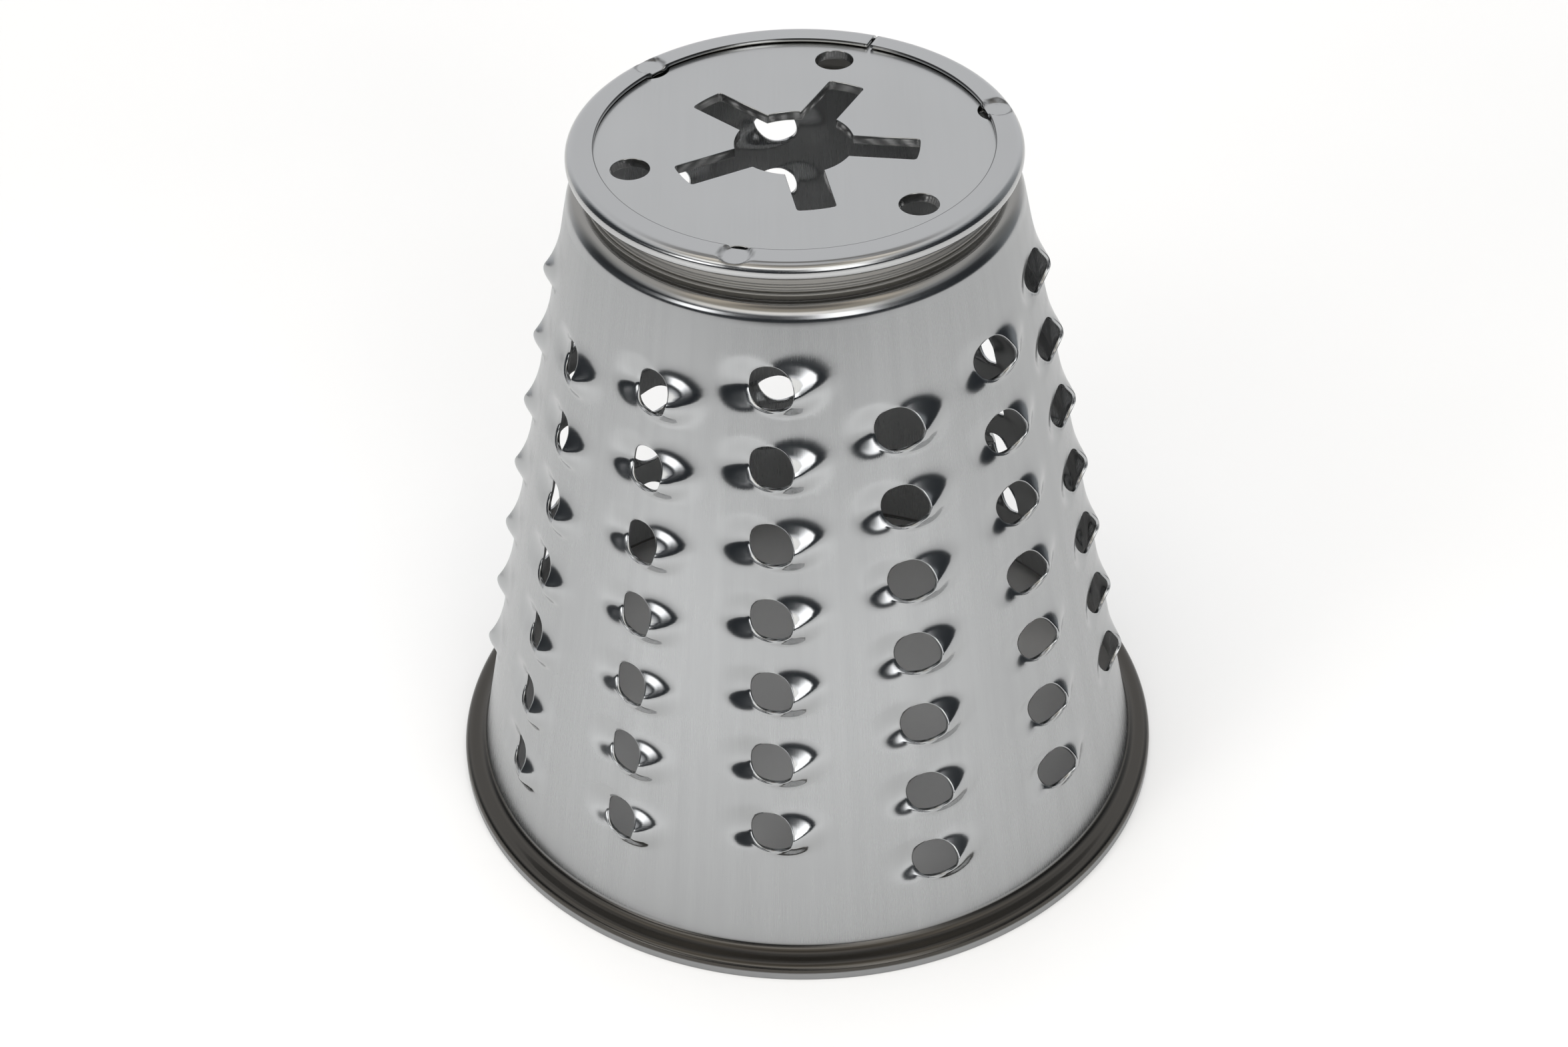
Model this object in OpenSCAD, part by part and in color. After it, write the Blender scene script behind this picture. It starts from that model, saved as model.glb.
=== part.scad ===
// Coarse grater cone of a rotary shredder: a rolled sheet-metal cone with
// punched teeth, and a thick drive plate gripped in its folded narrow end.
// Millimetres. +Z up along the axis, z = 0 where the wide end rests.

/* [Cone] */
// Outer diameter of the wide rim
base_d = 105; // [100:0.5:110]
// Height from the wide rim to the top of the fold
height = 104.5; // [100:0.5:108]
// Half angle of the cone wall, in degrees
taper = 11.31; // [11:0.01:11.6]
// Thickness of the cone's sheet
sheet = 0.5; // [0.4:0.05:0.5]

/* [Wide rim] */
// Height of the upright lip that the cone rests on
lip_h = 1.25; // [1:0.05:1.5]
// Outside radius of the roll above the lip
roll_r = 1.25; // [1:0.05:1.5]
// Flat run between the roll and the wall's fillet
ledge_run = 0.65; // [0.5:0.05:0.8]
// Radius of the fillet between the ledge and the wall
fillet_r = 1.6; // [1.4:0.1:1.8]

/* [Neck and fold] */
// Outside radius of the shoulder at the top of the wall
shoulder_r = 2.8; // [2.6:0.1:3]
// Radius of the crease between the shoulder and the bead
crease_r = 0.35; // [0.3:0.05:0.4]
// Radius of the small bead above the shoulder
bead_r = 0.55; // [0.5:0.05:0.6]
// Radius of the bend from the bead into the neck
neck_low_r = 0.6; // [0.5:0.05:0.7]
// Radius of the bend from the neck into the shelf
neck_top_r = 0.5; // [0.4:0.05:0.6]
// Length of the plain upright neck under the folded rim
neck_run = 1.3; // [1.1:0.1:1.5]
// Width of the shelf under the drive plate
shelf_run = 1.1; // [1:0.05:1.2]
// Outside radius of the rim's lower bend
rim_low_r = 1; // [0.9:0.05:1.1]
// Outside radius of the bend over the plate's edge
rim_top_r = 1.4; // [1.3:0.05:1.4]
// Width of the flat part of the fold that covers the plate
fold_run = 2.4; // [2:0.1:2.6]
// Direction of the sheet's seam, in degrees from +X
seam_angle = 69.5; // [0:0.5:359.5]
// Gap in the fold at the seam
seam_gap = 0.4; // [0.3:0.05:0.8]

/* [Teeth] */
// Columns of teeth round the cone
tooth_cols = 12; // [8:1:12]
// Teeth in each column
tooth_rows = 7; // [3:1:7]
// Angle between neighbouring columns, with a wider gap left at the seam
col_step = 28.15; // [27.5:0.05:28.5]
// Spacing of the teeth down a column
row_pitch = 10.92; // [10.8:0.01:11.2]
// Height of the middle of the columns that are set highest
mid_height = 54.65; // [53:0.05:55]
// Diameter of a tooth's hole
hole_d = 6.4; // [6:0.1:6.6]
// Turn of a tooth against the horizontal
tooth_turn = 20; // [15:1:25]
// Height of the raised hood over the wall at its cutting edge
hood_h = 1.7; // [1.4:0.05:1.8]
// Width of the hood
hood_w = 7.4; // [7:0.1:7.6]
// Height of the arch that the hood is a part of
hood_arch = 2.2; // [2:0.1:2.4]
// Length over which the hood runs back into the wall
hood_l = 5.6; // [5:0.1:6]
// Flat sides of a hole
hole_sides = 12; // [8:2:16]
// Flat sides of a hood's arch
hood_sides = 6; // [4:1:8]

/* [Drive plate] */
// Thickness of the drive plate
plate_t = 1.5; // [1.5:0.1:2.5]
// Gap between the plate's edge and the bend round it
plate_gap = 0.1; // [0.05:0.05:0.3]
// Diameter of the circle that the three round holes are on
hole_circle_d = 44.2; // [42:0.1:45]
// Number of round holes
plate_holes = 3; // [2:1:4]
// Diameter of each round hole
plate_hole_d = 5.2; // [5:0.1:5.5]
// Direction of the first round hole
hole_angle = 75; // [0:1:119]
// Arms of the star-shaped drive hole
star_arms = 5; // [3:1:6]
// Radius of the star's round middle
star_hub_r = 7.9; // [7:0.1:8.5]
// Radius at the tips of the star's arms
star_tip_r = 16.5; // [15:0.1:17]
// Width of each arm of the star
star_arm_w = 5.1; // [4.5:0.1:5.5]
// Direction of the star's first arm
star_angle = -8.5; // [-36:0.5:36]

/* [Locking crimps] */
// Crimps that stop the plate from turning
crimps = 3; // [2:1:4]
// Direction of the first crimp
crimp_angle = 14.3; // [0:0.1:119]
// Radius of a crimp's punch mark
crimp_r = 2.1; // [1.8:0.1:2.2]
// Depth to which a crimp is pressed down
crimp_h = 0.3; // [0.2:0.05:0.35]
// Gap between a crimp and the edge of the plate's notch
notch_gap = 0.35; // [0.2:0.05:0.5]

/* [Hidden] */
$fn = 96;
wall_tilt = taper;
base_r = base_d / 2;
hole_r = hole_d / 2;

// The sheet's path, as its outer surface runs from the lip to the fold. Each
// row is a straight run, then a bend: [run, bend radius, direction after it].
// A direction is the slope of the surface's outward normal: 0 is level, 90 is
// up. A bend towards a larger direction is convex seen from outside.
lower_path = [
    [lip_h, roll_r, 90],
    [ledge_run, fillet_r, wall_tilt]
];
upper_path = [
    [0, shoulder_r, 83],
    [0, crease_r, -30],
    [0, bead_r, 50],
    [0, neck_low_r, 0],
    [neck_run, neck_top_r, -90],
    [shelf_run, rim_low_r, 0],
    [plate_t + 2 * sheet - rim_low_r - rim_top_r, rim_top_r, 90],
    [fold_run, 0, 90]
];

function normal(b) = [cos(b), sin(b)];
function along(b) = [-sin(b), cos(b)];
function bend_side(b0, b1) = b1 > b0 ? 1 : -1;
function bend_steps(b0, b1) = max(1, ceil(abs(b1 - b0) / 15));
// Points of one bend, each with the direction there: [r, z, direction]
function bend(p, r, b0, b1) =
    let (s = bend_side(b0, b1), c = p - s * r * normal(b0), n = bend_steps(b0, b1))
    [for (k = [1:n]) let (b = b0 + (b1 - b0) * k / n, q = c + s * r * normal(b)) [q.x, q.y, b]];
// Points of a whole path from p, where the direction is b
function trace(path, p, b, i = 0) =
    i == len(path) ? [] :
    let (
        q = p + path[i][0] * along(b),
        run = path[i][0] > 0 ? [[q.x, q.y, b]] : [],
        turn = path[i][1] > 0 ? bend(q, path[i][1], b, path[i][2]) : [],
        all = concat(run, turn),
        e = all[len(all) - 1]
    )
    concat(all, trace(path, [e.x, e.y], e.z, i + 1));

lower = concat([[base_r, 0, 0]], trace(lower_path, [base_r, 0], 0));
wall_foot = lower[len(lower) - 1];
upper_from_zero = trace(upper_path, [0, 0], wall_tilt);
upper_rise = upper_from_zero[len(upper_from_zero) - 1].y;
wall_run = (height - wall_foot.y - upper_rise) / cos(wall_tilt);
wall_top = [wall_foot.x, wall_foot.y] + wall_run * along(wall_tilt);
upper = concat([[wall_top.x, wall_top.y, wall_tilt]], trace(upper_path, wall_top, wall_tilt));
skin = concat(lower, upper);
fold_in_r = upper[len(upper) - 1].x;
rim_r = fold_in_r + fold_run + rim_top_r;

// Seat of the drive plate under the fold
plate_top = height - sheet;
plate_r = rim_r - rim_top_r - plate_gap;
crimp_circle_r = rim_r - 1.05 * crimp_r;
// A crimp's tongue ends inside the bend over the plate, and is a little
// smaller than the punch mark over it
tongue_r = rim_r - rim_top_r / 2;
tongue_inset = 0.15;

function wall_r(z) = wall_foot.x - (z - wall_foot.y) * tan(wall_tilt);
function outer_side(inset) = [for (p = skin) [p.x, p.y] - inset * normal(p.z)];
sheet_outline = concat(outer_side(0), [for (p = [len(skin) - 1:-1:0]) outer_side(sheet)[p]]);

// Teeth: columns step round from the seam, each set down by none, two or one
// third of the row pitch in turn
seam_space = 360 - (tooth_cols - 1) * col_step;
function col_angle(c) = seam_angle + seam_space / 2 + c * col_step;
function col_drop(c) = row_pitch * ((2 * c) % 3) / 3;
function tooth_z(c, i) = mid_height + row_pitch * ((tooth_rows - 1) / 2 - i) - col_drop(c);

// Slope at which the hood runs back into the wall
hood_slope = atan(hood_h / hood_l);
hood_reach = hole_r + hood_l;
hood_mid = hole_r + hood_l / 3;
// How far a cutting shape reaches past the sheet
clear = 4;

// Puts a child on the wall, at height z in direction a. Its +Z is outwards,
// and its +X runs round the cone and up by tooth_turn.
module on_wall(a, z)
    rotate([0, 0, a])
        translate([wall_r(z), 0, z])
            rotate([0, 90 - wall_tilt, 0])
                rotate([0, 0, 90 + tooth_turn])
                    children();

// Repeats a child at every tooth, moved by shift along the tooth's own +X but
// kept flat on the wall there
module each_tooth(shift = 0)
    for (c = [0:tooth_cols - 1])
        for (i = [0:tooth_rows - 1])
            let (z = tooth_z(c, i) + shift * sin(tooth_turn) * cos(wall_tilt))
            on_wall(col_angle(c) + shift * cos(tooth_turn) / wall_r(z) * 180 / PI, z)
                children();

// Section of a hood: an arch of half width w, its top at the origin
function arch(w, h) = concat(
    [[w, -clear]],
    [for (k = [0:hood_sides]) [w * cos(180 * k / hood_sides), h * (sin(180 * k / hood_sides) - 1)]],
    [[-w, -clear]]
);

// Arch that runs along +X from the hole's middle and sinks into the wall. It
// stands rise over the wall at the hole's edge. The origin is the hood's middle.
module scoop(half_w, arch_h, rise)
    translate([-hood_mid, 0, rise + hole_r * tan(hood_slope)])
        rotate([0, hood_slope, 0])
            rotate([90, 0, 90])
                linear_extrude(hood_reach)
                    polygon(arch(half_w, arch_h));

// Outside of a hood, which ends inside the sheet
module hood()
    intersection() {
        scoop(hood_w / 2, hood_arch, hood_h);
        translate([-hood_reach, -hood_w, -sheet / 2])
            cube([2 * hood_reach, 2 * hood_w, clear]);
    }

// Space under a hood
module hood_hollow()
    scoop(hood_w / 2 - sheet, hood_arch - sheet, hood_h - sheet);

// Punch that cuts the hole
module punch()
    translate([0, 0, -clear])
        linear_extrude(2 * clear)
            polygon([for (k = [0:hole_sides - 1]) hole_r * normal(360 * k / hole_sides)]);

// Repeats a child at every crimp
module each_crimp()
    for (k = [0:crimps - 1])
        rotate([0, 0, crimp_angle + 360 * k / crimps])
            children();

// Part of the fold that a crimp presses down into the plate's notch
module tongue()
    intersection() {
        translate([crimp_circle_r, 0]) circle(r = crimp_r - tongue_inset);
        difference() {
            circle(r = tongue_r);
            circle(r = fold_in_r + tongue_inset);
        }
    }

module cone_shell() color([0.74, 0.75, 0.76]) {
    difference() {
        union() {
            rotate_extrude() polygon(sheet_outline);
            each_tooth(hood_mid) hood();
        }
        each_tooth(hood_mid) hood_hollow();
        each_tooth() punch();
        // Punch marks of the crimps
        each_crimp()
            translate([crimp_circle_r, 0, height - crimp_h])
                cylinder(r = crimp_r, h = clear);
        // Seam, open across the fold
        rotate([0, 0, seam_angle])
            translate([0, -seam_gap / 2, plate_top - sheet])
                cube([base_r, seam_gap, clear]);
    }
    each_crimp()
        translate([0, 0, plate_top - crimp_h])
            linear_extrude((sheet + crimp_h) / 2)
                tongue();
}

// Star-shaped hole that the drive shaft fits
module star()
    union() {
        circle(r = star_hub_r);
        intersection() {
            circle(r = star_tip_r);
            for (k = [0:star_arms - 1])
                rotate(star_angle + 360 * k / star_arms)
                    translate([0, -star_arm_w / 2])
                        square([2 * star_tip_r, star_arm_w]);
        }
    }

module drive_plate() color([0.78, 0.79, 0.79]) {
    translate([0, 0, plate_top - plate_t])
        linear_extrude(plate_t)
            difference() {
                circle(r = plate_r);
                star();
                for (k = [0:plate_holes - 1])
                    rotate(hole_angle + 360 * k / plate_holes)
                        translate([hole_circle_d / 2, 0])
                            circle(d = plate_hole_d);
                each_crimp()
                    translate([crimp_circle_r, 0])
                        circle(r = crimp_r + notch_gap);
            }
}

cone_shell();
drive_plate();
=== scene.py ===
"""Looks of the grater cone: a formed sheet-metal cone with punched teeth, and its drive plate."""
import math

import bpy
import numpy as np
from mathutils import Matrix, Vector


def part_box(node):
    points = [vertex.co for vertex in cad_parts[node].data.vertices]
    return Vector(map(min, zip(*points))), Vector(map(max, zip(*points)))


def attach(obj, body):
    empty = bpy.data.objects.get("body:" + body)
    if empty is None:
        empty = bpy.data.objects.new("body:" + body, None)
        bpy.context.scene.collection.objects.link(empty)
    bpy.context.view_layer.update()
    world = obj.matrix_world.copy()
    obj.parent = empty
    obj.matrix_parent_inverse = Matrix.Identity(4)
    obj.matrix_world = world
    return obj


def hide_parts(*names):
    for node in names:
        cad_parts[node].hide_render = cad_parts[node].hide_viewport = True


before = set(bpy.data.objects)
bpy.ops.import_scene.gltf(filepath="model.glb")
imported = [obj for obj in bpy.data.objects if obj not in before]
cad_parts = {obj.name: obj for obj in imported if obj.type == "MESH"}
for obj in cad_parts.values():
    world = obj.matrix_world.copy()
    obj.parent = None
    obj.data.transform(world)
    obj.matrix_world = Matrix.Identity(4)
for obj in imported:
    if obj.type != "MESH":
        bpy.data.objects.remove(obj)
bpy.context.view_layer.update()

# ---------------------------------------------------------------- sizes
# Lengths are in millimetres until a mesh is made, and angles in degrees.
MM = 0.001
_, shell_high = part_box("cone_shell")
plate_low, plate_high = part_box("drive_plate")
BASE_R = shell_high.x / MM
HEIGHT = shell_high.z / MM
PLATE_R = plate_high.x / MM
PLATE_LOW, PLATE_TOP = plate_low.z / MM, plate_high.z / MM
SHEET = HEIGHT - PLATE_TOP
TAPER = 11.31

# the sheet's path from the lip to the fold: [straight run, bend radius, direction after it]
LOWER_PATH = [[1.25, 1.25, 90], [0.65, 1.6, TAPER]]
RIM_LOW_R, RIM_TOP_R = 1.0, 1.4
RIM_RUN = (PLATE_TOP - PLATE_LOW) + 2 * SHEET - RIM_LOW_R - RIM_TOP_R
UPPER_PATH = [
    [0, 2.8, 83], [0, 0.35, -30], [0, 0.55, 50], [0, 0.6, 0],
    [1.3, 0.5, -90], [1.1, RIM_LOW_R, 0], [RIM_RUN, RIM_TOP_R, 90], [2.4, 0, 90],
]
# one point is made for so many degrees of a bend, and for such a length of a straight run
BEND_STEP, RUN_STEP = 7.0, 0.22

# teeth, in columns round the cone, with a wider space at the seam
COLS, ROWS = 12, 7
COL_STEP, ROW_PITCH = 28.15, 10.92
MID_HEIGHT = 54.65
SEAM = 69.5
SEAM_SPACE = 360 - (COLS - 1) * COL_STEP
# each tooth's turn, and its hole, which is a little shorter along the tooth than across it
TURN = math.radians(20)
HOLE_R, HOLE_SHORT = 3.2, 0.94


def normal_of(b):
    """The outward direction [r, z] where the sheet's normal is b degrees above level."""
    return np.array([math.cos(math.radians(b)), math.sin(math.radians(b))])


def along_of(b):
    """The direction [r, z] of the path where the sheet's normal is b degrees above level."""
    return np.array([-math.sin(math.radians(b)), math.cos(math.radians(b))])


def trace(path, start, b):
    """Points [r, z, direction of the outward normal] along a path of runs and bends."""
    p, points = np.array(start, float), []
    for run, radius, b_end in path:
        steps = math.ceil(run / RUN_STEP)
        for k in range(steps):
            p = p + run / steps * along_of(b)
            points.append([p[0], p[1], b])
        if radius > 0:
            side = 1 if b_end > b else -1
            centre = p - side * radius * normal_of(b)
            steps = max(2, math.ceil(abs(b_end - b) / BEND_STEP))
            for k in range(1, steps + 1):
                bk = b + (b_end - b) * k / steps
                p = centre + side * radius * normal_of(bk)
                points.append([p[0], p[1], bk])
            b = b_end
    return points


# the lower path ends at the foot of the wall, and the upper one starts at the wall's top
lower = [[BASE_R, 0.0, 0.0]] + trace(LOWER_PATH, (BASE_R, 0.0), 0.0)
foot = np.array(lower[-1][:2])
rise = trace(UPPER_PATH, (0.0, 0.0), TAPER)[-1][1]
wall_run = (HEIGHT - foot[1] - rise) / math.cos(math.radians(TAPER))
top = foot + wall_run * along_of(TAPER)
upper = [[top[0], top[1], TAPER]] + trace(UPPER_PATH, top, TAPER)
FOOT_Z, TOP_Z = foot[1], top[1]
FOLD_IN_R = upper[-1][0]
RIM_R = FOLD_IN_R + UPPER_PATH[-1][0] + RIM_TOP_R


def wall_r(z):
    """Radius of the plain wall at a height."""
    return foot[0] - (z - FOOT_Z) * math.tan(math.radians(TAPER))


def col_angle(c):
    """Where a column of teeth stands, round from the x axis."""
    return SEAM + SEAM_SPACE / 2 + c * COL_STEP


def tooth_z(c, i):
    """Height of a tooth. The columns start at three heights in turn."""
    return MID_HEIGHT + ROW_PITCH * ((ROWS - 1) / 2 - i - ((2 * c) % 3) / 3)


# ---------------------------------------------------------------- camera
# metres and degrees, fitted to the photograph's view, which looks down on the cone from the front
CAMERA_PLACE = (0, -0.310336, 0.291412)
CAMERA_YAW, CAMERA_PITCH, CAMERA_ROLL = -0.499, -39.05, -1.555
CAMERA_SENSOR, CAMERA_LENS = 36.0, 62.99


def make_camera():
    """The photograph's camera."""
    yaw, pitch, roll = (math.radians(a) for a in (CAMERA_YAW, CAMERA_PITCH, CAMERA_ROLL))
    look = Vector((math.sin(yaw) * math.cos(pitch), math.cos(yaw) * math.cos(pitch), math.sin(pitch)))
    level = Vector((math.cos(yaw), -math.sin(yaw), 0))
    upright = level.cross(look)
    right = math.cos(roll) * level + math.sin(roll) * upright
    up = math.cos(roll) * upright - math.sin(roll) * level
    data = bpy.data.cameras.new("photo_camera")
    data.sensor_width, data.lens = CAMERA_SENSOR, CAMERA_LENS
    data.clip_start, data.clip_end = 0.01, 50
    camera = bpy.data.objects.new("photo_camera", data)
    turn = Matrix((right, up, -look)).transposed().to_4x4()
    camera.matrix_world = Matrix.Translation(CAMERA_PLACE) @ turn
    bpy.context.scene.collection.objects.link(camera)
    bpy.context.scene.camera = camera


# ---------------------------------------------------------------- formed teeth
# The hood beside each hole: an oval footprint whose axis is turned a little from the hole's. Its
# crest stays within a share of the oval's half width, and each slope has a bend and a soft foot.
HOOD_TURN = math.radians(3.6)
HOOD_X, HOOD_Y, HOOD_A, HOOD_B, HOOD_H = 3.08, -0.54, 6.4, 4.6, 2.07
CREST_Y, CREST_SHARE = -1.46, 0.7
RIDGE_X, RIDGE_BEND, RIDGE_FOOT = 1.88, 1.2, 2.57
UP_BEND, UP_FOOT, DOWN_BEND, DOWN_FOOT = 1.27, 2.65, 2.52, 2.21
LIP_H, LIP_RISE = 0.94, 0.434
# the dent on the other side, and the rounding of the sheet into the hole there
DENT_X, DENT_Y, DENT_A, DENT_B, DENT_H, DENT_FOOT = -2.93, 1.74, 4.57, 4.06, 0.76, 2.18
ROLL_H, ROLL_W, ROLL_SIDE = 0.16, 0.30, 0.9
# how far from its middle a tooth can reach: round the cone in degrees, and up the wall
REACH_ROUND, REACH_UP = 30, 9


def smooth(t):
    """From 0 to 1 as t goes from 0 to 1, with level ends."""
    t = np.clip(t, 0, 1)
    return t * t * (3 - 2 * t)


def soft_clip(t, soft=0.15):
    """t held between 0 and 1, with rounded ends."""
    t = 0.5 * (t + np.sqrt(t * t + soft * soft))
    return np.clip(1 - 0.5 * ((1 - t) + np.sqrt((1 - t) ** 2 + soft * soft)), 0, 1)


def tooth_height(x, y):
    """Height of the pressed sheet over the plain wall, with x along the tooth and y across it."""
    hx = x * math.cos(HOOD_TURN) + y * math.sin(HOOD_TURN)
    hy = -x * math.sin(HOOD_TURN) + y * math.cos(HOOD_TURN)
    e = (hx - HOOD_X) / HOOD_A
    half = HOOD_B * np.sqrt(np.clip(1 - e * e, 1e-4, None))
    crest = np.clip(CREST_Y, HOOD_Y - CREST_SHARE * half, HOOD_Y + CREST_SHARE * half)
    up = np.clip((hy - crest) / (HOOD_Y + half - crest), 0, 1)
    down = np.clip((crest - hy) / (crest - HOOD_Y + half), 0, 1)
    section = np.where(hy > crest, (1 - up ** UP_BEND) ** UP_FOOT, (1 - down ** DOWN_BEND) ** DOWN_FOOT)
    run = np.clip((hx - RIDGE_X) / (HOOD_X + HOOD_A - RIDGE_X), 0, 1)
    ridge = (1 - run ** RIDGE_BEND) ** RIDGE_FOOT
    lip = soft_clip((LIP_H + LIP_RISE * hx) / HOOD_H)
    hood = np.where(np.abs(e) < 1, HOOD_H * section * ridge * lip, 0)
    dx, dy = (hx - DENT_X) / DENT_A, (hy - DENT_Y) / DENT_B
    dent = DENT_H * np.clip(1 - dx * dx - dy * dy, 0, 1) ** DENT_FOOT
    # close to the hole, on the dent's side, the edge rolls in
    rho = np.hypot(x / HOLE_SHORT, y) - HOLE_R
    side = smooth(0.5 - x / HOLE_R * ROLL_SIDE)
    roll = ROLL_H * side * (1 - smooth(rho / ROLL_W)) ** 2
    return hood - dent - roll


# ---------------------------------------------------------------- the formed cone
# The wall is a lattice of upright lines and level rows. A tile of it round each tooth is filled
# with rings of faces that lie closer together towards the hole.
TILE_ROWS, TILE_COLS, TILE_RINGS = 12, 20, 13
RING_CROWD = 1.5
SPACE_COLS = 16
ROW_STEP = ROW_PITCH / TILE_ROWS
ROW_ZERO = MID_HEIGHT + ROW_PITCH / 2
# plain rows between the teeth and the neck, and between the teeth and the foot
ROWS_ABOVE, ROWS_BELOW = 3, 5
# how far the sheet's cut edges are rounded, and how close the next row of points is
EDGE, EDGE_STEP = 0.05, 0.12
# the rounding itself: [share of the thickness, share of EDGE that it stands out]
EDGE_ROUNDS = [[0.12, 0.75], [0.3, 1.0], [0.7, 1.0], [0.88, 0.75]]
# the three crimps that press the fold into the plate's notches, each just inside the rim
CRIMPS, CRIMP_ANGLE, CRIMP_R, CRIMP_H = 3, 14.3, 2.1, 0.42
CRIMP_CIRCLE_R = RIM_R - 1.05 * CRIMP_R
# the soft step round a crimp starts a little outside its radius, and the painted shade of its crease
# lies on the step
CRIMP_OUT, CRIMP_STEP_W, CREASE_SHADE_W, CREASE_SHADE_DEPTH = 0.1, 0.45, 0.4, 1.0
# on the fold, lines near a crimp are drawn towards it, by this share and within this angle
DRAW_SHARE, DRAW_WIDTH, DRAW_ROWS = 0.75, 30, 12
# the fold is split along a line beside the middle of the plain space, and opens over some rows
SEAM_LINE = COLS * TILE_COLS + SPACE_COLS // 2 - 1
SEAM_GAP, SEAM_ROWS, SEAM_ABOVE = 0.6, 6, 0.1
# the height from which a tooth's metal counts as pressed
PRESSED_H = 0.25
# the shortest length that a direction is divided by
TINY = 1e-12


def azimuth_lines():
    """Angles of the lines up the sheet: some for each column of teeth, the rest in the plain space."""
    first = col_angle(0) - COL_STEP / 2
    lines = [first + COL_STEP * k / TILE_COLS for k in range(COLS * TILE_COLS)]
    plain = 360 - COLS * COL_STEP
    return lines + [first + COLS * COL_STEP + plain * k / SPACE_COLS for k in range(SPACE_COLS)]


LINES = azimuth_lines()


def row_z(k):
    """Height of a row of the wall."""
    return ROW_ZERO + k * ROW_STEP


def row_at(z):
    """The wall's row nearest to a height."""
    return round((z - ROW_ZERO) / ROW_STEP)


class Lattice:
    """Points of the sheet's outer surface, each with its direction, and the faces between them."""

    def __init__(self):
        self.index, self.rz, self.azimuth, self.wall = {}, [], [], []
        self.faces = []

    def point(self, key, azimuth, r, z, b, wall=False):
        """The number of the point with this key, which is added when it is new."""
        if key not in self.index:
            self.index[key] = len(self.rz)
            self.rz.append((r, z, b))
            self.azimuth.append(azimuth)
            self.wall.append(wall)
        return self.index[key]

    def strip(self, low, high):
        """Faces between two rows of points."""
        for j in range(len(low) - 1):
            self.faces.append((low[j], low[j + 1], high[j + 1], high[j]))

    def wall_point(self, j, k):
        """The point of the plain wall on one line and row."""
        j = j % len(LINES)
        z = row_z(k)
        return self.point(("wall", j, k), LINES[j], wall_r(z), z, TAPER, True)

    def wall_face(self, j, k):
        """One face of the plain wall."""
        low = [self.wall_point(j, k), self.wall_point(j + 1, k)]
        high = [self.wall_point(j, k + 1), self.wall_point(j + 1, k + 1)]
        self.strip(low, high)


def add_tile(lattice, c, i, k_low):
    """One tooth's rectangle of the wall: rings of faces from its edges in to the hole."""
    j0 = c * TILE_COLS
    loop = [(j0 + n, k_low) for n in range(TILE_COLS)]
    loop += [(j0 + TILE_COLS, k_low + n) for n in range(TILE_ROWS)]
    loop += [(j0 + TILE_COLS - n, k_low + TILE_ROWS) for n in range(TILE_COLS)]
    loop += [(j0, k_low + TILE_ROWS - n) for n in range(TILE_ROWS)]
    a_mid, z_mid = col_angle(c), tooth_z(c, i)
    slope = math.cos(math.radians(TAPER))
    hole_r = HOLE_R - EDGE
    rings = [[lattice.wall_point(j, k) for j, k in loop]]
    # each spoke runs from a point of the rectangle to the hole's edge, which is turned by TURN
    spokes = []
    for j, k in loop:
        line = LINES[j] if j < len(LINES) else LINES[0] + 360
        v = (row_z(k) - z_mid) / slope
        u = math.radians(line - a_mid) * wall_r(row_z(k))
        x = u * math.cos(TURN) + v * math.sin(TURN)
        y = -u * math.sin(TURN) + v * math.cos(TURN)
        phi = math.atan2(y, x)
        spokes.append((u, v, hole_r * HOLE_SHORT * math.cos(phi), hole_r * math.sin(phi)))
    for ring in range(TILE_RINGS - 1, -1, -1):
        t = (ring / TILE_RINGS) ** RING_CROWD
        row = []
        for n, (u, v, x, y) in enumerate(spokes):
            eu = x * math.cos(TURN) - y * math.sin(TURN)
            ev = x * math.sin(TURN) + y * math.cos(TURN)
            pu, pv = eu + (u - eu) * t, ev + (v - ev) * t
            z = z_mid + pv * slope
            azimuth = a_mid + math.degrees(pu / wall_r(z))
            row.append(lattice.point(("tile", c, i, ring, n), azimuth, wall_r(z), z, TAPER, True))
        rings.append(row)
    for outer, inner in zip(rings, rings[1:]):
        lattice.strip(outer + outer[:1], inner + inner[:1])


def add_wall(lattice, k_low, k_top):
    """The wall: tiles where there are teeth, plain faces elsewhere."""
    for c in range(COLS):
        tiles = {row_at(tooth_z(c, i) - ROW_PITCH / 2): i for i in range(ROWS)}
        k = k_low
        while k < k_top:
            if k in tiles:
                add_tile(lattice, c, tiles[k], k)
                k += TILE_ROWS
                continue
            for j in range(c * TILE_COLS, (c + 1) * TILE_COLS):
                lattice.wall_face(j, k)
            k += 1
    for j in range(COLS * TILE_COLS, len(LINES)):
        for k in range(k_low, k_top):
            lattice.wall_face(j, k)


def thin_ends(path):
    """The path with both ends pulled in by the edge's rounding, and a close neighbour for each."""
    points = [list(p) for p in path]
    for at, towards in ((0, 1), (-1, -2)):
        d = np.array(points[towards][:2]) - np.array(points[at][:2])
        d = d / np.linalg.norm(d)
        end = np.array(points[at][:2]) + d * EDGE
        points[at][:2] = end
        near = end + d * EDGE_STEP
        points.insert(1 if at == 0 else len(points) - 1, [near[0], near[1], points[at][2]])
    return points


def drawn_in(line, amount):
    """A line's angle on the fold, where the lines are closer together near the crimps."""
    space = 360 / CRIMPS
    away = (line - CRIMP_ANGLE + space / 2) % space - space / 2
    return line - amount * away * DRAW_SHARE * math.exp(-(away / DRAW_WIDTH) ** 2)


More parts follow.
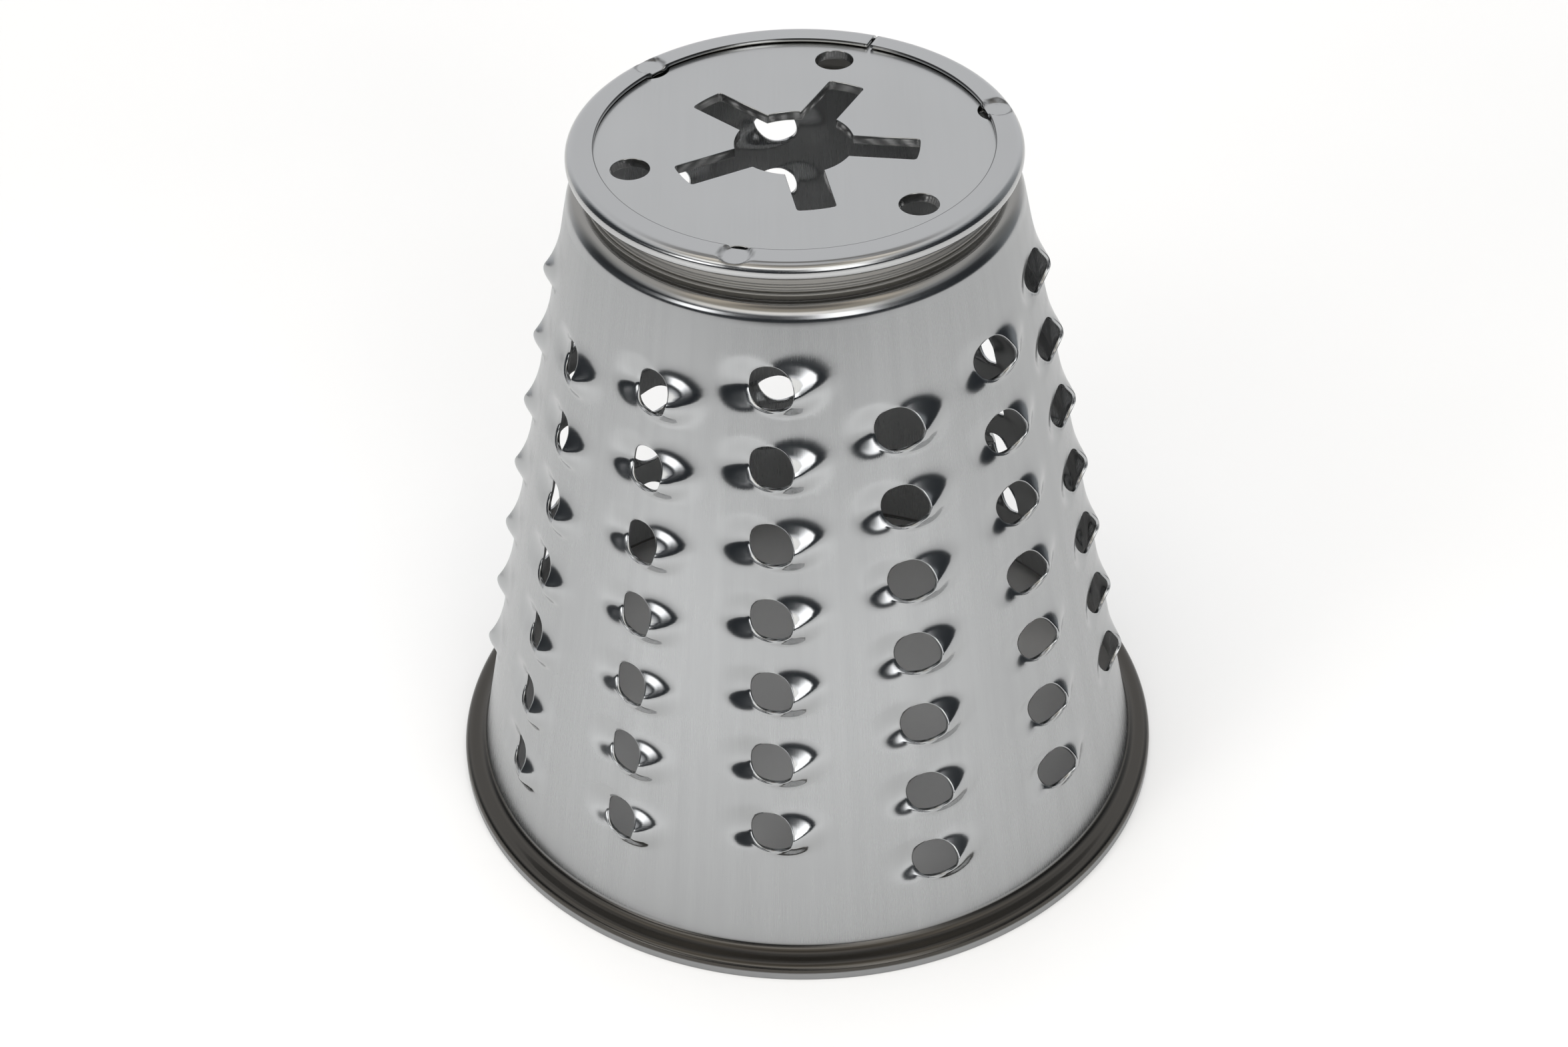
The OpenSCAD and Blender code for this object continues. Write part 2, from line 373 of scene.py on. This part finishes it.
def build_lattice():
    """The outer surface, with the split's far points, the neck and fold's rows, and their path."""
    lattice = Lattice()
    count = len(LINES)
    k_top = row_at(max(tooth_z(c, 0) for c in range(COLS)) + ROW_PITCH / 2) + ROWS_ABOVE
    k_low = row_at(min(tooth_z(c, ROWS - 1) for c in range(COLS)) - ROW_PITCH / 2) - ROWS_BELOW
    ends = thin_ends(lower + upper)
    low_path, high_path = ends[: len(lower) + 1], ends[len(lower) + 1:]
    slit_from = next(s for s, p in enumerate(high_path) if p[1] > HEIGHT - RIM_TOP_R + SEAM_ABOVE)

    low_rows = []
    for s, p in enumerate(low_path):
        low_rows.append([lattice.point(("low", s, j), LINES[j], *p) for j in range(count)])
    high_rows, slit_rows = [], {}
    for s, p in enumerate(high_path):
        amount = float(smooth((s - slit_from + DRAW_ROWS) / DRAW_ROWS))
        angles = [drawn_in(line, amount) for line in LINES]
        high_rows.append([lattice.point(("high", s, j), angles[j], *p) for j in range(count)])
        if s >= slit_from:
            slit_rows[s] = lattice.point(("slit", s), angles[SEAM_LINE], *p)
    first_wall = [lattice.wall_point(j, k_low) for j in range(count)]
    last_wall = [lattice.wall_point(j, k_top) for j in range(count)]

    for a, b in zip(low_rows, low_rows[1:] + [first_wall]):
        lattice.strip(a + a[:1], b + b[:1])
    chain = [last_wall] + high_rows
    for s, (a, b) in enumerate(zip(chain, chain[1:])):
        if s < slit_from:
            lattice.strip(a + a[:1], b + b[:1])
            continue
        # the sheet is split along the seam from here on: the far side has its own points
        start_a = slit_rows.get(s - 1, a[SEAM_LINE])
        ring_a = [start_a] + a[SEAM_LINE + 1:] + a[: SEAM_LINE + 1]
        ring_b = [slit_rows[s]] + b[SEAM_LINE + 1:] + b[: SEAM_LINE + 1]
        lattice.strip(ring_a, ring_b)
    add_wall(lattice, k_low, k_top)
    return lattice, slit_rows, high_rows, high_path


def pressed_height(azimuth, r, z, on_wall):
    """How far the sheet is pressed out at each point, by all the teeth."""
    height = np.zeros(len(r))
    slope = math.cos(math.radians(TAPER))
    for c in range(COLS):
        away = (azimuth - col_angle(c) + 180) % 360 - 180
        near = on_wall & (np.abs(away) < REACH_ROUND)
        for i in range(ROWS):
            v = (z - tooth_z(c, i)) / slope
            use = np.where(near & (np.abs(v) < REACH_UP))[0]
            u = np.radians(away[use]) * r[use]
            x = u * math.cos(TURN) + v[use] * math.sin(TURN)
            y = -u * math.sin(TURN) + v[use] * math.cos(TURN)
            height[use] += tooth_height(x, y)
    return height


def crimp_distance(azimuth, r):
    """How far each point is from the middle of the nearest crimp."""
    nearest = np.full_like(r, BASE_R)
    for k in range(CRIMPS):
        a = np.radians(azimuth - CRIMP_ANGLE - 360 / CRIMPS * k)
        nearest = np.minimum(nearest, np.hypot(r * np.cos(a) - CRIMP_CIRCLE_R, r * np.sin(a)))
    return nearest


def shell_arrays():
    """The outer surface's points and faces, the height pressed at each point, and the rings of painted
    shade round the crimps.
    """
    lattice, slit_rows, high_rows, high_path = build_lattice()
    r, z, b = np.array(lattice.rz).T
    b = np.radians(b)
    azimuth = np.array(lattice.azimuth)
    height = pressed_height(azimuth, r, z, np.array(lattice.wall))
    # the crimps press the fold down, and a ring of painted shade marks the crease round each
    past_edge = CRIMP_R + CRIMP_OUT - crimp_distance(azimuth, r)
    z = np.minimum(z, HEIGHT - CRIMP_H * smooth(past_edge / CRIMP_STEP_W))
    creased = smooth(1 - np.abs(past_edge - 2 * CRIMP_OUT) / CREASE_SHADE_W) * (z > HEIGHT - CREASE_SHADE_DEPTH)
    # the seam's two sides part where the fold is split
    turn = np.zeros(len(r))
    for s, far in slit_rows.items():
        near = high_rows[s][SEAM_LINE]
        opening = SEAM_GAP * smooth((s - min(slit_rows) + 1) / SEAM_ROWS)
        angle = math.degrees(opening / 2 / high_path[s][0])
        turn[near] -= angle
        turn[far] += angle
    a = np.radians(azimuth + turn)
    r = r + height * np.cos(b)
    z = z + height * np.sin(b)
    points = np.column_stack((r * np.cos(a), r * np.sin(a), z))
    return points, np.array(lattice.faces), height, creased


def vertex_normals(points, faces):
    """Directions straight out of the surface at its points."""
    corners = points[faces]
    flat = np.cross(corners[:, 2] - corners[:, 0], corners[:, 3] - corners[:, 1])
    flat /= np.maximum(np.linalg.norm(flat, axis=1, keepdims=True), TINY)
    normals = np.zeros_like(points)
    for n in range(4):
        np.add.at(normals, faces[:, n], flat)
    return normals / np.maximum(np.linalg.norm(normals, axis=1, keepdims=True), TINY)


def open_edges(faces):
    """Edges that only one face uses."""
    used = {}
    for f in faces:
        for n in range(4):
            used[(f[n], f[(n + 1) % 4])] = True
    return [(p, q) for (p, q) in used if (q, p) not in used]


def sheet_solid(points, faces, thickness, edge):
    """A closed sheet: the outer surface, the same one a thickness in, and rounded edges between."""
    normals = vertex_normals(points, faces)
    inner = points - thickness * normals
    count = len(points)
    edges = open_edges(faces)
    out = np.zeros_like(points)
    for p, q in edges:
        d = points[q] - points[p]
        side = np.cross(d, normals[p] + normals[q])
        side /= max(np.linalg.norm(side), TINY)
        out[p] += side
        out[q] += side
    rim = sorted({p for e in edges for p in e})
    at = {p: n for n, p in enumerate(rim)}
    rim_out = out[rim] / np.linalg.norm(out[rim], axis=1, keepdims=True)
    rounds = []
    for depth, bulge in EDGE_ROUNDS:
        rounds.append(points[rim] - depth * thickness * normals[rim] + bulge * edge * rim_out)
    all_points = np.vstack([points, inner] + rounds)
    all_faces = [tuple(f) for f in faces] + [tuple(count + f[::-1]) for f in faces]

    def chain(p):
        """The points from the outer surface to the inner one round the edge at p."""
        return [p] + [2 * count + k * len(rim) + at[p] for k in range(len(rounds))] + [count + p]

    for p, q in edges:
        from_p, from_q = chain(p), chain(q)
        for k in range(len(rounds) + 1):
            all_faces.append((from_q[k], from_p[k], from_p[k + 1], from_q[k + 1]))
    return all_points, all_faces


def mesh_object(name, points, faces, material, marks):
    """A smooth mesh, with marks kept at each point for the material."""
    mesh = bpy.data.meshes.new(name)
    mesh.from_pydata((np.asarray(points) * MM).tolist(), [], [tuple(int(v) for v in f) for f in faces])
    mesh.validate()
    mesh.update()
    mesh.shade_smooth()
    mesh.materials.append(material)
    for mark, values in marks.items():
        mesh.attributes.new(mark, "FLOAT", "POINT").data.foreach_set("value", values.astype(np.float32))
    piece = bpy.data.objects.new(name, mesh)
    bpy.context.scene.collection.objects.link(piece)
    return piece


def make_shell(material):
    """The cone: its lip, flange, wall with teeth, neck and fold are one sheet."""
    points, faces, height, creased = shell_arrays()
    count = len(points)
    points, faces = sheet_solid(points, faces, SHEET, EDGE)
    # the mark is full on the cut edges, and nothing on the inner surface
    pressed = np.full(len(points), 1.0)
    pressed[:count] = smooth(np.abs(height) / PRESSED_H)
    pressed[count:2 * count] = 0.0
    # painted shade: the ring round each crimp, kept as a mark for the material
    crease = np.zeros(len(points))
    crease[:count] = creased
    return mesh_object("formed_cone", points, faces, material, {"pressed": pressed, "crease": crease})


# ---------------------------------------------------------------- drive plate
HOLES, HOLE_CIRCLE_R, PLATE_HOLE_R, HOLE_ANGLE = 3, 22.1, 2.6, 75
STAR_ARMS, STAR_HUB_R, STAR_TIP_R, STAR_ARM_W, STAR_ANGLE = 5, 7.9, 16.5, 5.1, -8.5
NOTCH_GAP, CORNER_R, PLATE_EDGE = 0.5, 0.5, 0.1
# the plate lies a little below the fold, and nearly level faces are shaded flat
PLATE_SLACK, LEVEL = 0.15, 0.999
# steps in which each kind of arc is drawn
CORNER_STEPS, TIP_STEPS, HUB_STEPS, NOTCH_STEPS, OUTER_STEPS, HOLE_STEPS = 6, 8, 16, 24, 90, 64
WELD = 0.002


def arc(cx, cy, r, start, end, steps):
    """Points on a circle from one angle to another, in degrees."""
    turns = [math.radians(start + (end - start) * k / steps) for k in range(steps + 1)]
    return [(cx + r * math.cos(t), cy + r * math.sin(t)) for t in turns]


def turned(points, degrees):
    """Points turned about the plate's middle."""
    c, s = math.cos(math.radians(degrees)), math.sin(math.radians(degrees))
    return [(x * c - y * s, x * s + y * c) for x, y in points]


def star_outline():
    """The star socket's edge: arcs of the hub, arms with rounded corners and curved tips."""
    half = STAR_ARM_W / 2
    hub_half = math.degrees(math.asin(half / STAR_HUB_R))
    corner_x = math.sqrt((STAR_TIP_R - CORNER_R) ** 2 - (half - CORNER_R) ** 2)
    corner_turn = math.degrees(math.atan2(half - CORNER_R, corner_x))
    arm = arc(corner_x, CORNER_R - half, CORNER_R, -90, -corner_turn, CORNER_STEPS)
    arm += arc(0, 0, STAR_TIP_R, -corner_turn, corner_turn, TIP_STEPS)[1:-1]
    arm += arc(corner_x, half - CORNER_R, CORNER_R, corner_turn, 90, CORNER_STEPS)
    space = 360 / STAR_ARMS
    points = []
    for k in range(STAR_ARMS):
        middle = STAR_ANGLE + space * k
        points += turned(arm, middle)
        points += arc(0, 0, STAR_HUB_R, middle + hub_half, middle + space - hub_half, HUB_STEPS)
    return points


def notched_outline():
    """The plate's edge with a round notch at each crimp."""
    notch_r = CRIMP_R + NOTCH_GAP
    cosine = (CRIMP_CIRCLE_R ** 2 + PLATE_R ** 2 - notch_r ** 2) / (2 * CRIMP_CIRCLE_R * PLATE_R)
    half = math.degrees(math.acos(cosine))
    # where the notch's circle meets the plate's edge, seen from the notch's middle
    meet_x, meet_y = PLATE_R * cosine - CRIMP_CIRCLE_R, PLATE_R * math.sin(math.radians(half))
    open_turn = math.degrees(math.atan2(meet_y, meet_x))
    notch = arc(CRIMP_CIRCLE_R, 0, notch_r, -open_turn, open_turn - 360, NOTCH_STEPS)[1:-1]
    space = 360 / CRIMPS
    points = []
    for k in range(CRIMPS):
        middle = CRIMP_ANGLE + space * k
        points += turned(notch, middle)
        points += arc(0, 0, PLATE_R, middle + half, middle + space - half, OUTER_STEPS)
    return points


def make_plate(material):
    """The plate as a flat outline with its holes, given thickness and a fine bevel."""
    curve = bpy.data.curves.new("plate_outline", "CURVE")
    curve.dimensions, curve.fill_mode = "2D", "BOTH"
    plate_top = PLATE_TOP - PLATE_SLACK
    curve.extrude = ((plate_top - PLATE_LOW) / 2 - PLATE_EDGE) * MM
    curve.bevel_depth, curve.bevel_resolution = PLATE_EDGE * MM, 2
    curve.offset = -PLATE_EDGE * MM
    loops = [notched_outline(), star_outline()]
    for k in range(HOLES):
        t = math.radians(HOLE_ANGLE + 360 / HOLES * k)
        x, y = HOLE_CIRCLE_R * math.cos(t), HOLE_CIRCLE_R * math.sin(t)
        loops.append(arc(x, y, PLATE_HOLE_R, 0, 360, HOLE_STEPS)[:-1])
    for points in loops:
        spline = curve.splines.new("POLY")
        spline.points.add(len(points) - 1)
        for p, (x, y) in zip(spline.points, points):
            p.co = (x * MM, y * MM, 0, 1)
        spline.use_cyclic_u = True
    outline = bpy.data.objects.new("plate_outline", curve)
    bpy.context.scene.collection.objects.link(outline)
    outline.location.z = (plate_top + PLATE_LOW) / 2 * MM
    bpy.context.view_layer.update()
    mesh = bpy.data.meshes.new_from_object(outline.evaluated_get(bpy.context.evaluated_depsgraph_get()))
    mesh.transform(outline.matrix_world)
    bpy.data.objects.remove(outline)
    mesh.name = "drive_disc"
    mesh.materials.clear()
    mesh.materials.append(material)
    for face in mesh.polygons:
        face.use_smooth = abs(face.normal.z) < LEVEL
    piece = bpy.data.objects.new("drive_disc", mesh)
    bpy.context.scene.collection.objects.link(piece)
    weld = piece.modifiers.new("weld", "WELD")
    weld.merge_threshold = WELD * MM
    return piece


# ---------------------------------------------------------------- materials
CONE_COLOUR, PLATE_COLOUR = (0.396, 0.403, 0.408), (0.47, 0.473, 0.470)
# painted shade: the flange's near-black colour stands in for the dark reflections on it; the lip's grey
# is its own
FLANGE_SHADE_COLOUR, LIP_COLOUR = (0.080, 0.075, 0.068), (0.36, 0.365, 0.37)
# painted shade: the neck's darker, browner colour stands in for the shade and dim reflections in its
# recess under the rim
NECK_SHADE_COLOUR, FOLD_COLOUR, SHADE_LINE_COLOUR = (0.285, 0.277, 0.262), (0.46, 0.463, 0.462), (0.10, 0.10, 0.10)
# painted shade: the dark line colour on the line above paints the fold's inner edge, and the crimps'
# creases at this share
CREASE_SHADE_SHARE = 0.75
CONE_ROUGH, PLATE_ROUGH, TOOTH_SHARE, FORMED_SHARE = 0.26, 0.22, 0.6, 0.68
GROOVE_ROUGH, FLANGE_ROUGH, LIP_ROUGH = 0.44, 0.24, 0.5
CONE_ANISOTROPY = 0.9
# brush lines: how fine they are on each piece, their spacing round the cone, and how drawn out
CONE_LINES, PLATE_LINES, LINE_TURN, LINE_RUN = 9000.0, 3000.0, 0.04, 0.02
# how strong they are on the plate and on the cone's formed bends, where 1 is the wall
PLATE_DEPTH, FORMED_LINES = 0.35, 0.12
# how far the tone and the roughness vary with the fine lines, broad bands and soft patches
FINE_TONE, BROAD_TONE, PATCH_VARY = 0.035, 0.03, 0.02
BROAD_SHARE, PATCH_SCALE = 0.05, 45.0
ROUGH_LESS, ROUGH_MORE = 0.02, 0.03
# nearly all of a noise's values lie between the first two, and of a fine line's between the others
NOISE_LOW, NOISE_HIGH, LINE_LOW, LINE_HIGH = 0.3, 0.7, 0.25, 0.75
BUMP_STRENGTH, BUMP_DISTANCE = 0.1, 0.00002
# heights where the cone's finish changes, as [where the change starts, where it ends]
WALL_TOP = [TOP_Z - 1.0, TOP_Z + 0.5]
WALL_FOOT = [FOOT_Z, FOOT_Z - 0.5]
# the band of painted shade on the neck
NECK_SHADE_UP, NECK_SHADE_DOWN = [TOP_Z + 0.6, TOP_Z + 1.6], [HEIGHT - 2.6, HEIGHT - 3.4]
GROOVE_UP, GROOVE_DOWN = [TOP_Z + 1.9, TOP_Z + 2.3], [HEIGHT - 2.2, HEIGHT - 2.6]
FOLD_UP = [HEIGHT - 2.4, HEIGHT - 1.4]
LIP_DOWN = [1.35, 1.05]
# painted shade along the fold's inner cut edge, where it lies over the plate: a height and a radius
CUT_SHADE_UP, CUT_SHADE_IN = [HEIGHT - 0.2, HEIGHT - 0.1], [FOLD_IN_R + 0.16, FOLD_IN_R + 0.1]


class Nodes:
    """Short names for making the nodes and links of a material or the world."""

    def __init__(self, owner):
        owner.use_nodes = True
        self.owner = owner
        self.tree = owner.node_tree
        self.tree.nodes.clear()

    def add(self, kind, inputs=None, **settings):
        """A node with its settings, and with values or links on its inputs."""
        node = self.tree.nodes.new(kind)
        for key, value in settings.items():
            setattr(node, key, value)
        for key, value in (inputs or {}).items():
            self.plug(node.inputs[key], value)
        return node

    def plug(self, socket, value):
        """A link where the value is another node's output, and a plain number or vector elsewhere."""
        if isinstance(value, bpy.types.NodeSocket):
            self.tree.links.new(value, socket)
        else:
            socket.default_value = value

    def math(self, operation, a, b=0.0, c=0.0):
        node = self.add("ShaderNodeMath", operation=operation)
        for socket, value in zip(node.inputs, (a, b, c)):
            self.plug(socket, value)
        return node.outputs[0]

    def noise(self, vector, scale, detail=2.0, rough=0.5):
        inputs = {"Vector": vector, "Scale": scale, "Detail": detail, "Roughness": rough}
        return self.add("ShaderNodeTexNoise", inputs).outputs["Fac"]

    def ramp(self, value, low, high, out_low=0.0, out_high=1.0, curve="LINEAR"):
        """From one output to the other as the value goes from low to high, which may be the smaller."""
        inputs = {"Value": value, "From Min": low, "From Max": high,
                  "To Min": out_low, "To Max": out_high}
        return self.add("ShaderNodeMapRange", inputs, interpolation_type=curve).outputs[0]

    def swing(self, noise, reach, middle=0.0):
        """A noise as a change of up to this reach to either side of the middle."""
        return self.ramp(noise, NOISE_LOW, NOISE_HIGH, middle - reach, middle + reach)

    def blend(self, first, second, mask):
        """The first colour where the mask is 0, and the second where it is 1."""
        node = self.add("ShaderNodeMix", data_type="RGBA")
        colours = [socket for socket in node.inputs if socket.type == "RGBA"]
        self.plug(node.inputs["Factor"], mask)
        for socket, value in zip(colours, (first, second)):
            self.plug(socket, value if isinstance(value, bpy.types.NodeSocket) else (*value, 1.0))
        return next(socket for socket in node.outputs if socket.type == "RGBA")

    def combine(self, x, y, z):
        return self.add("ShaderNodeCombineXYZ", {"X": x, "Y": y, "Z": z}).outputs[0]

    def split(self, vector):
        return tuple(self.add("ShaderNodeSeparateXYZ", {"Vector": vector}).outputs)

    def place(self):
        """Where a point is on its piece, in metres."""
        return self.add("ShaderNodeTexCoord").outputs["Object"]

    def zone(self, value, start, end, before=0.0, past=1.0):
        """One output before the start and another past the end, which are in millimetres."""
        return self.ramp(value, start * MM, end * MM, before, past)

    def finish(self, kind, shader):
        """The output node, and the finished material or world."""
        self.add(kind, {"Surface": shader.outputs[0]})
        return self.owner


def brushed(n, lines, scale, strength, colour, roughness, depth):
    """Brushed metal's colour and roughness, and the height of its fine lines."""
    fine = n.noise(lines, scale, detail=3.0, rough=0.6)
    fine = n.math("MULTIPLY_ADD", n.math("SUBTRACT", fine, 0.5), strength, 0.5)
    broad = n.noise(lines, scale * BROAD_SHARE)
    patch = n.swing(n.noise(n.place(), PATCH_SCALE, detail=3.0), PATCH_VARY)
    tone = n.math("ADD", n.swing(fine, FINE_TONE * depth, 1.0), n.swing(broad, BROAD_TONE * depth))
    tone = n.math("ADD", tone, patch)
    base = n.add("ShaderNodeVectorMath", {0: colour, "Scale": tone}, operation="SCALE").outputs[0]
    rough = n.ramp(fine, LINE_LOW, LINE_HIGH, roughness - ROUGH_LESS, roughness + ROUGH_MORE)
    return base, n.math("ADD", rough, patch), fine


def metal(n, base, rough, fine):
    """The metal's shader, with its brush lines as a very slight bump."""
    bump = {"Strength": BUMP_STRENGTH, "Distance": BUMP_DISTANCE, "Height": fine}
    normal = n.add("ShaderNodeBump", bump).outputs[0]
    return n.add("ShaderNodeBsdfPrincipled", {"Base Color": base, "Metallic": 1.0,
                                              "Roughness": rough, "Normal": normal})


def cone_colour(n, base, place):
    """The brushed colour, with the fold and lip in their own, and painted shade on the flange, the neck,
    the fold's inner edge and the crimps' creases.
    """
    x, y, z = n.split(place)
    neck = n.math("MULTIPLY", n.zone(z, *NECK_SHADE_UP), n.zone(z, *NECK_SHADE_DOWN))
    across = n.math("SQRT", n.math("ADD", n.math("MULTIPLY", x, x), n.math("MULTIPLY", y, y)))
    cut_shade = n.math("MULTIPLY", n.zone(across, *CUT_SHADE_IN), n.zone(z, *CUT_SHADE_UP))
    crease = n.add("ShaderNodeAttribute", attribute_name="crease").outputs["Fac"]
    # painted shade: the rolled flange at the foot is coloured near-black
    base = n.blend(base, FLANGE_SHADE_COLOUR, n.zone(z, *WALL_FOOT))
    # painted shade: the recessed neck is coloured darker and browner
    base = n.blend(base, NECK_SHADE_COLOUR, neck)
    base = n.blend(base, FOLD_COLOUR, n.zone(z, *FOLD_UP))
    # painted shade: a thin dark line on the fold's inner edge, where it lies over the plate
    base = n.blend(base, SHADE_LINE_COLOUR, cut_shade)
    # painted shade: dark rings round the crimps
    base = n.blend(base, SHADE_LINE_COLOUR, n.math("MULTIPLY", crease, CREASE_SHADE_SHARE))
    return n.blend(base, LIP_COLOUR, n.zone(z, *LIP_DOWN))


def cone_roughness(n, rough, z, formed):
    """Smoother on the teeth and the formed bends, and duller in the groove, flange and lip."""
    pressed = n.add("ShaderNodeAttribute", attribute_name="pressed").outputs["Fac"]
    groove = n.math("MULTIPLY", n.zone(z, *GROOVE_UP), n.zone(z, *GROOVE_DOWN))
    rough = n.math("MULTIPLY", rough, n.ramp(pressed, 0.0, 1.0, 1.0, TOOTH_SHARE))
    rough = n.math("MULTIPLY", rough, n.ramp(formed, FORMED_LINES, 1.0, FORMED_SHARE, 1.0))
    flange, lip = n.zone(z, *WALL_FOOT), n.zone(z, *LIP_DOWN)
    for mask, least in ((groove, GROOVE_ROUGH), (flange, FLANGE_ROUGH), (lip, LIP_ROUGH)):
        rough = n.math("MAXIMUM", rough, n.math("MULTIPLY", mask, least))
    return rough


def cone_steel():
    """Steel brushed up the cone, with hardly any lines on the rolled foot, the neck and the fold."""
    n = Nodes(bpy.data.materials.new("brushed_cone_steel"))
    place = n.place()
    x, y, z = n.split(place)
    turn = n.math("ARCTAN2", y, x)
    lines = n.combine(n.math("MULTIPLY", turn, LINE_TURN), 0.0, n.math("MULTIPLY", z, LINE_RUN))
    # 1 on the wall, and little on the parts above and below it
    formed = n.math("MINIMUM", n.zone(z, *WALL_TOP, 1.0, FORMED_LINES),
                    n.zone(z, *WALL_FOOT, 1.0, FORMED_LINES))
    base, rough, fine = brushed(n, lines, CONE_LINES, formed, CONE_COLOUR, CONE_ROUGH, 1.0)
    shader = metal(n, cone_colour(n, base, place), cone_roughness(n, rough, z, formed), fine)
    tangent = n.add("ShaderNodeTangent", direction_type="RADIAL", axis="Z")
    n.plug(shader.inputs["Anisotropic"], CONE_ANISOTROPY)
    n.plug(shader.inputs["Tangent"], tangent.outputs[0])
    return n.finish("ShaderNodeOutputMaterial", shader)


def plate_steel():
    """Satin steel with fine straight lines across the plate."""
    n = Nodes(bpy.data.materials.new("satin_plate_steel"))
    x, y, z = n.split(n.place())
    lines = n.combine(x, n.math("MULTIPLY", y, LINE_RUN), z)
    base, rough, fine = brushed(n, lines, PLATE_LINES, 1.0, PLATE_COLOUR, PLATE_ROUGH, PLATE_DEPTH)
    return n.finish("ShaderNodeOutputMaterial", metal(n, base, rough, fine))


# ---------------------------------------------------------------- studio
# the table top's sides, front and back in metres, and its tone
FLOOR_SIDE, FLOOR_FRONT, FLOOR_BACK = 0.62, -0.56, 1.4
FLOOR_TONE, FLOOR_VARY, FLOOR_PATCH_SCALE, FLOOR_ROUGH = 0.88, 0.01, 8.0, 0.9
# Each patch of the studio: lowest and highest angle above the floor, its left and right ends as
# turns from the camera's side, the softness of its edges (up and round), and its brightness.
ROOM, BACKDROP = (0.92, 0.93, 0.95), (0.93, 0.93, 0.93)
PATCHES = [
    ["dim ceiling", 58, 77, -400, 400, 6, 1, (0.28, 0.27, 0.26)],
    ["warm wall", 44, 61, -75, 65, 4, 8, (0.75, 0.70, 0.61)],
    ["warm left", 56, 74, -84, -50, 5, 8, (1.5, 1.38, 1.2)],
    ["warm right", 56, 74, 50, 76, 5, 8, (1.7, 1.56, 1.36)],
    ["left side", -30, 34, -128, -58, 5, 8, (0.42, 0.44, 0.46)],
    ["right side", -30, 38, 40, 132, 5, 8, (0.34, 0.36, 0.38)],
    ["dark front", -30, 26, -118, 108, 3, 6, (0.035, 0.040, 0.046)],
    ["strip", 31, 44, -60, 42, 2, 5, (1.9, 1.87, 1.8)],
    ["left lamp", 5, 19, -58, -38, 1.5, 2, (3.6, 3.6, 3.6)],
    ["right lamp", 7, 30, 10, 32, 1.5, 2, (3.6, 3.6, 3.6)],
]
# Lamps that only light the table top: turn from the camera's side, distance from the part,
# height, size and power.
POOLS = [
    ["left pool", -43, 0.20, 0.16, 0.08, 0.125],
    ["right pool", 29, 0.20, 0.14, 0.08, 0.08],
    ["back pool", 180, 0.34, 0.45, 0.30, 0.22],
]
TOP_LIGHT, TOP_SOFTNESS = 0.88, 60


def floor_material():
    """A pale, matt table top with faint soft patches."""
    n = Nodes(bpy.data.materials.new("pale_floor"))
    grain = n.swing(n.noise(n.place(), FLOOR_PATCH_SCALE), FLOOR_VARY, FLOOR_TONE)
    shader = n.add("ShaderNodeBsdfPrincipled", {"Base Color": n.combine(grain, grain, grain),
                                                "Roughness": FLOOR_ROUGH, "Specular IOR Level": 0.1})
    return n.finish("ShaderNodeOutputMaterial", shader)


def make_floor():
    """A pale table top, which ends a little in front of the part as the photograph's does."""
    corners = [(-FLOOR_SIDE, FLOOR_FRONT, 0), (FLOOR_SIDE, FLOOR_FRONT, 0)]
    corners += [(FLOOR_SIDE, FLOOR_BACK, 0), (-FLOOR_SIDE, FLOOR_BACK, 0)]
    mesh = bpy.data.meshes.new("floor")
    mesh.from_pydata(corners, [], [(0, 1, 2, 3)])
    mesh.materials.append(floor_material())
    floor = bpy.data.objects.new("floor", mesh)
    bpy.context.scene.collection.objects.link(floor)


def band(n, value, low, high, soft):
    """1 between two angles and 0 outside them, with soft edges."""
    rise = n.ramp(value, low - soft, low + soft, 0.0, 1.0, "SMOOTHSTEP")
    fall = n.ramp(value, high - soft, high + soft, 1.0, 0.0, "SMOOTHSTEP")
    return n.math("MULTIPLY", rise, fall)


def make_studio():
    """A pale room, dark on the camera's side, with two lamps and a bright strip above them."""
    n = Nodes(bpy.data.worlds.new("studio"))
    x, y, z = n.split(n.add("ShaderNodeTexCoord").outputs["Generated"])
    above = n.math("DEGREES", n.math("ARCSINE", z))
    aside = n.math("DEGREES", n.math("ARCTAN2", x, n.math("MULTIPLY", y, -1.0)))
    colour = ROOM
    for _, low, high, left, right, soft, soft_round, brightness in PATCHES:
        up, round_it = band(n, above, low, high, soft), band(n, aside, left, right, soft_round)
        colour = n.blend(colour, brightness, n.math("MULTIPLY", up, round_it))
    # the metal mirrors that room, and behind the table the camera sees a plain pale backdrop
    straight = n.add("ShaderNodeLightPath").outputs["Is Camera Ray"]
    colour = n.blend(colour, BACKDROP, straight)
    background = n.add("ShaderNodeBackground", {"Color": colour, "Strength": 1.0})
    bpy.context.scene.world = n.finish("ShaderNodeOutputWorld", background)


def make_lights():
    """Soft light from above on the table top, and three brighter pools that the metal doesn't mirror."""
    sun = bpy.data.lights.new("top_light", "SUN")
    sun.energy, sun.angle = TOP_LIGHT, math.radians(TOP_SOFTNESS)
    lamps = [(sun, (0, 0, 1))]
    for name, aside, out, height, size, power in POOLS:
        data = bpy.data.lights.new(name, "AREA")
        data.shape, data.size, data.energy = "DISK", size, power
        turn = math.radians(aside)
        lamps.append((data, (out * math.sin(turn), -out * math.cos(turn), height)))
    for data, place in lamps:
        lamp = bpy.data.objects.new(data.name, data)
        lamp.location = place
        lamp.visible_glossy = lamp.visible_camera = False
        bpy.context.scene.collection.objects.link(lamp)


# ---------------------------------------------------------------- the scene
bpy.context.scene.view_settings.view_transform = "Standard"
make_camera()
make_floor()
make_studio()
make_lights()

cone = make_shell(cone_steel())
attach(cone, "root")
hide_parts("cone_shell")

plate = make_plate(plate_steel())
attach(plate, "root")
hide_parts("drive_plate")
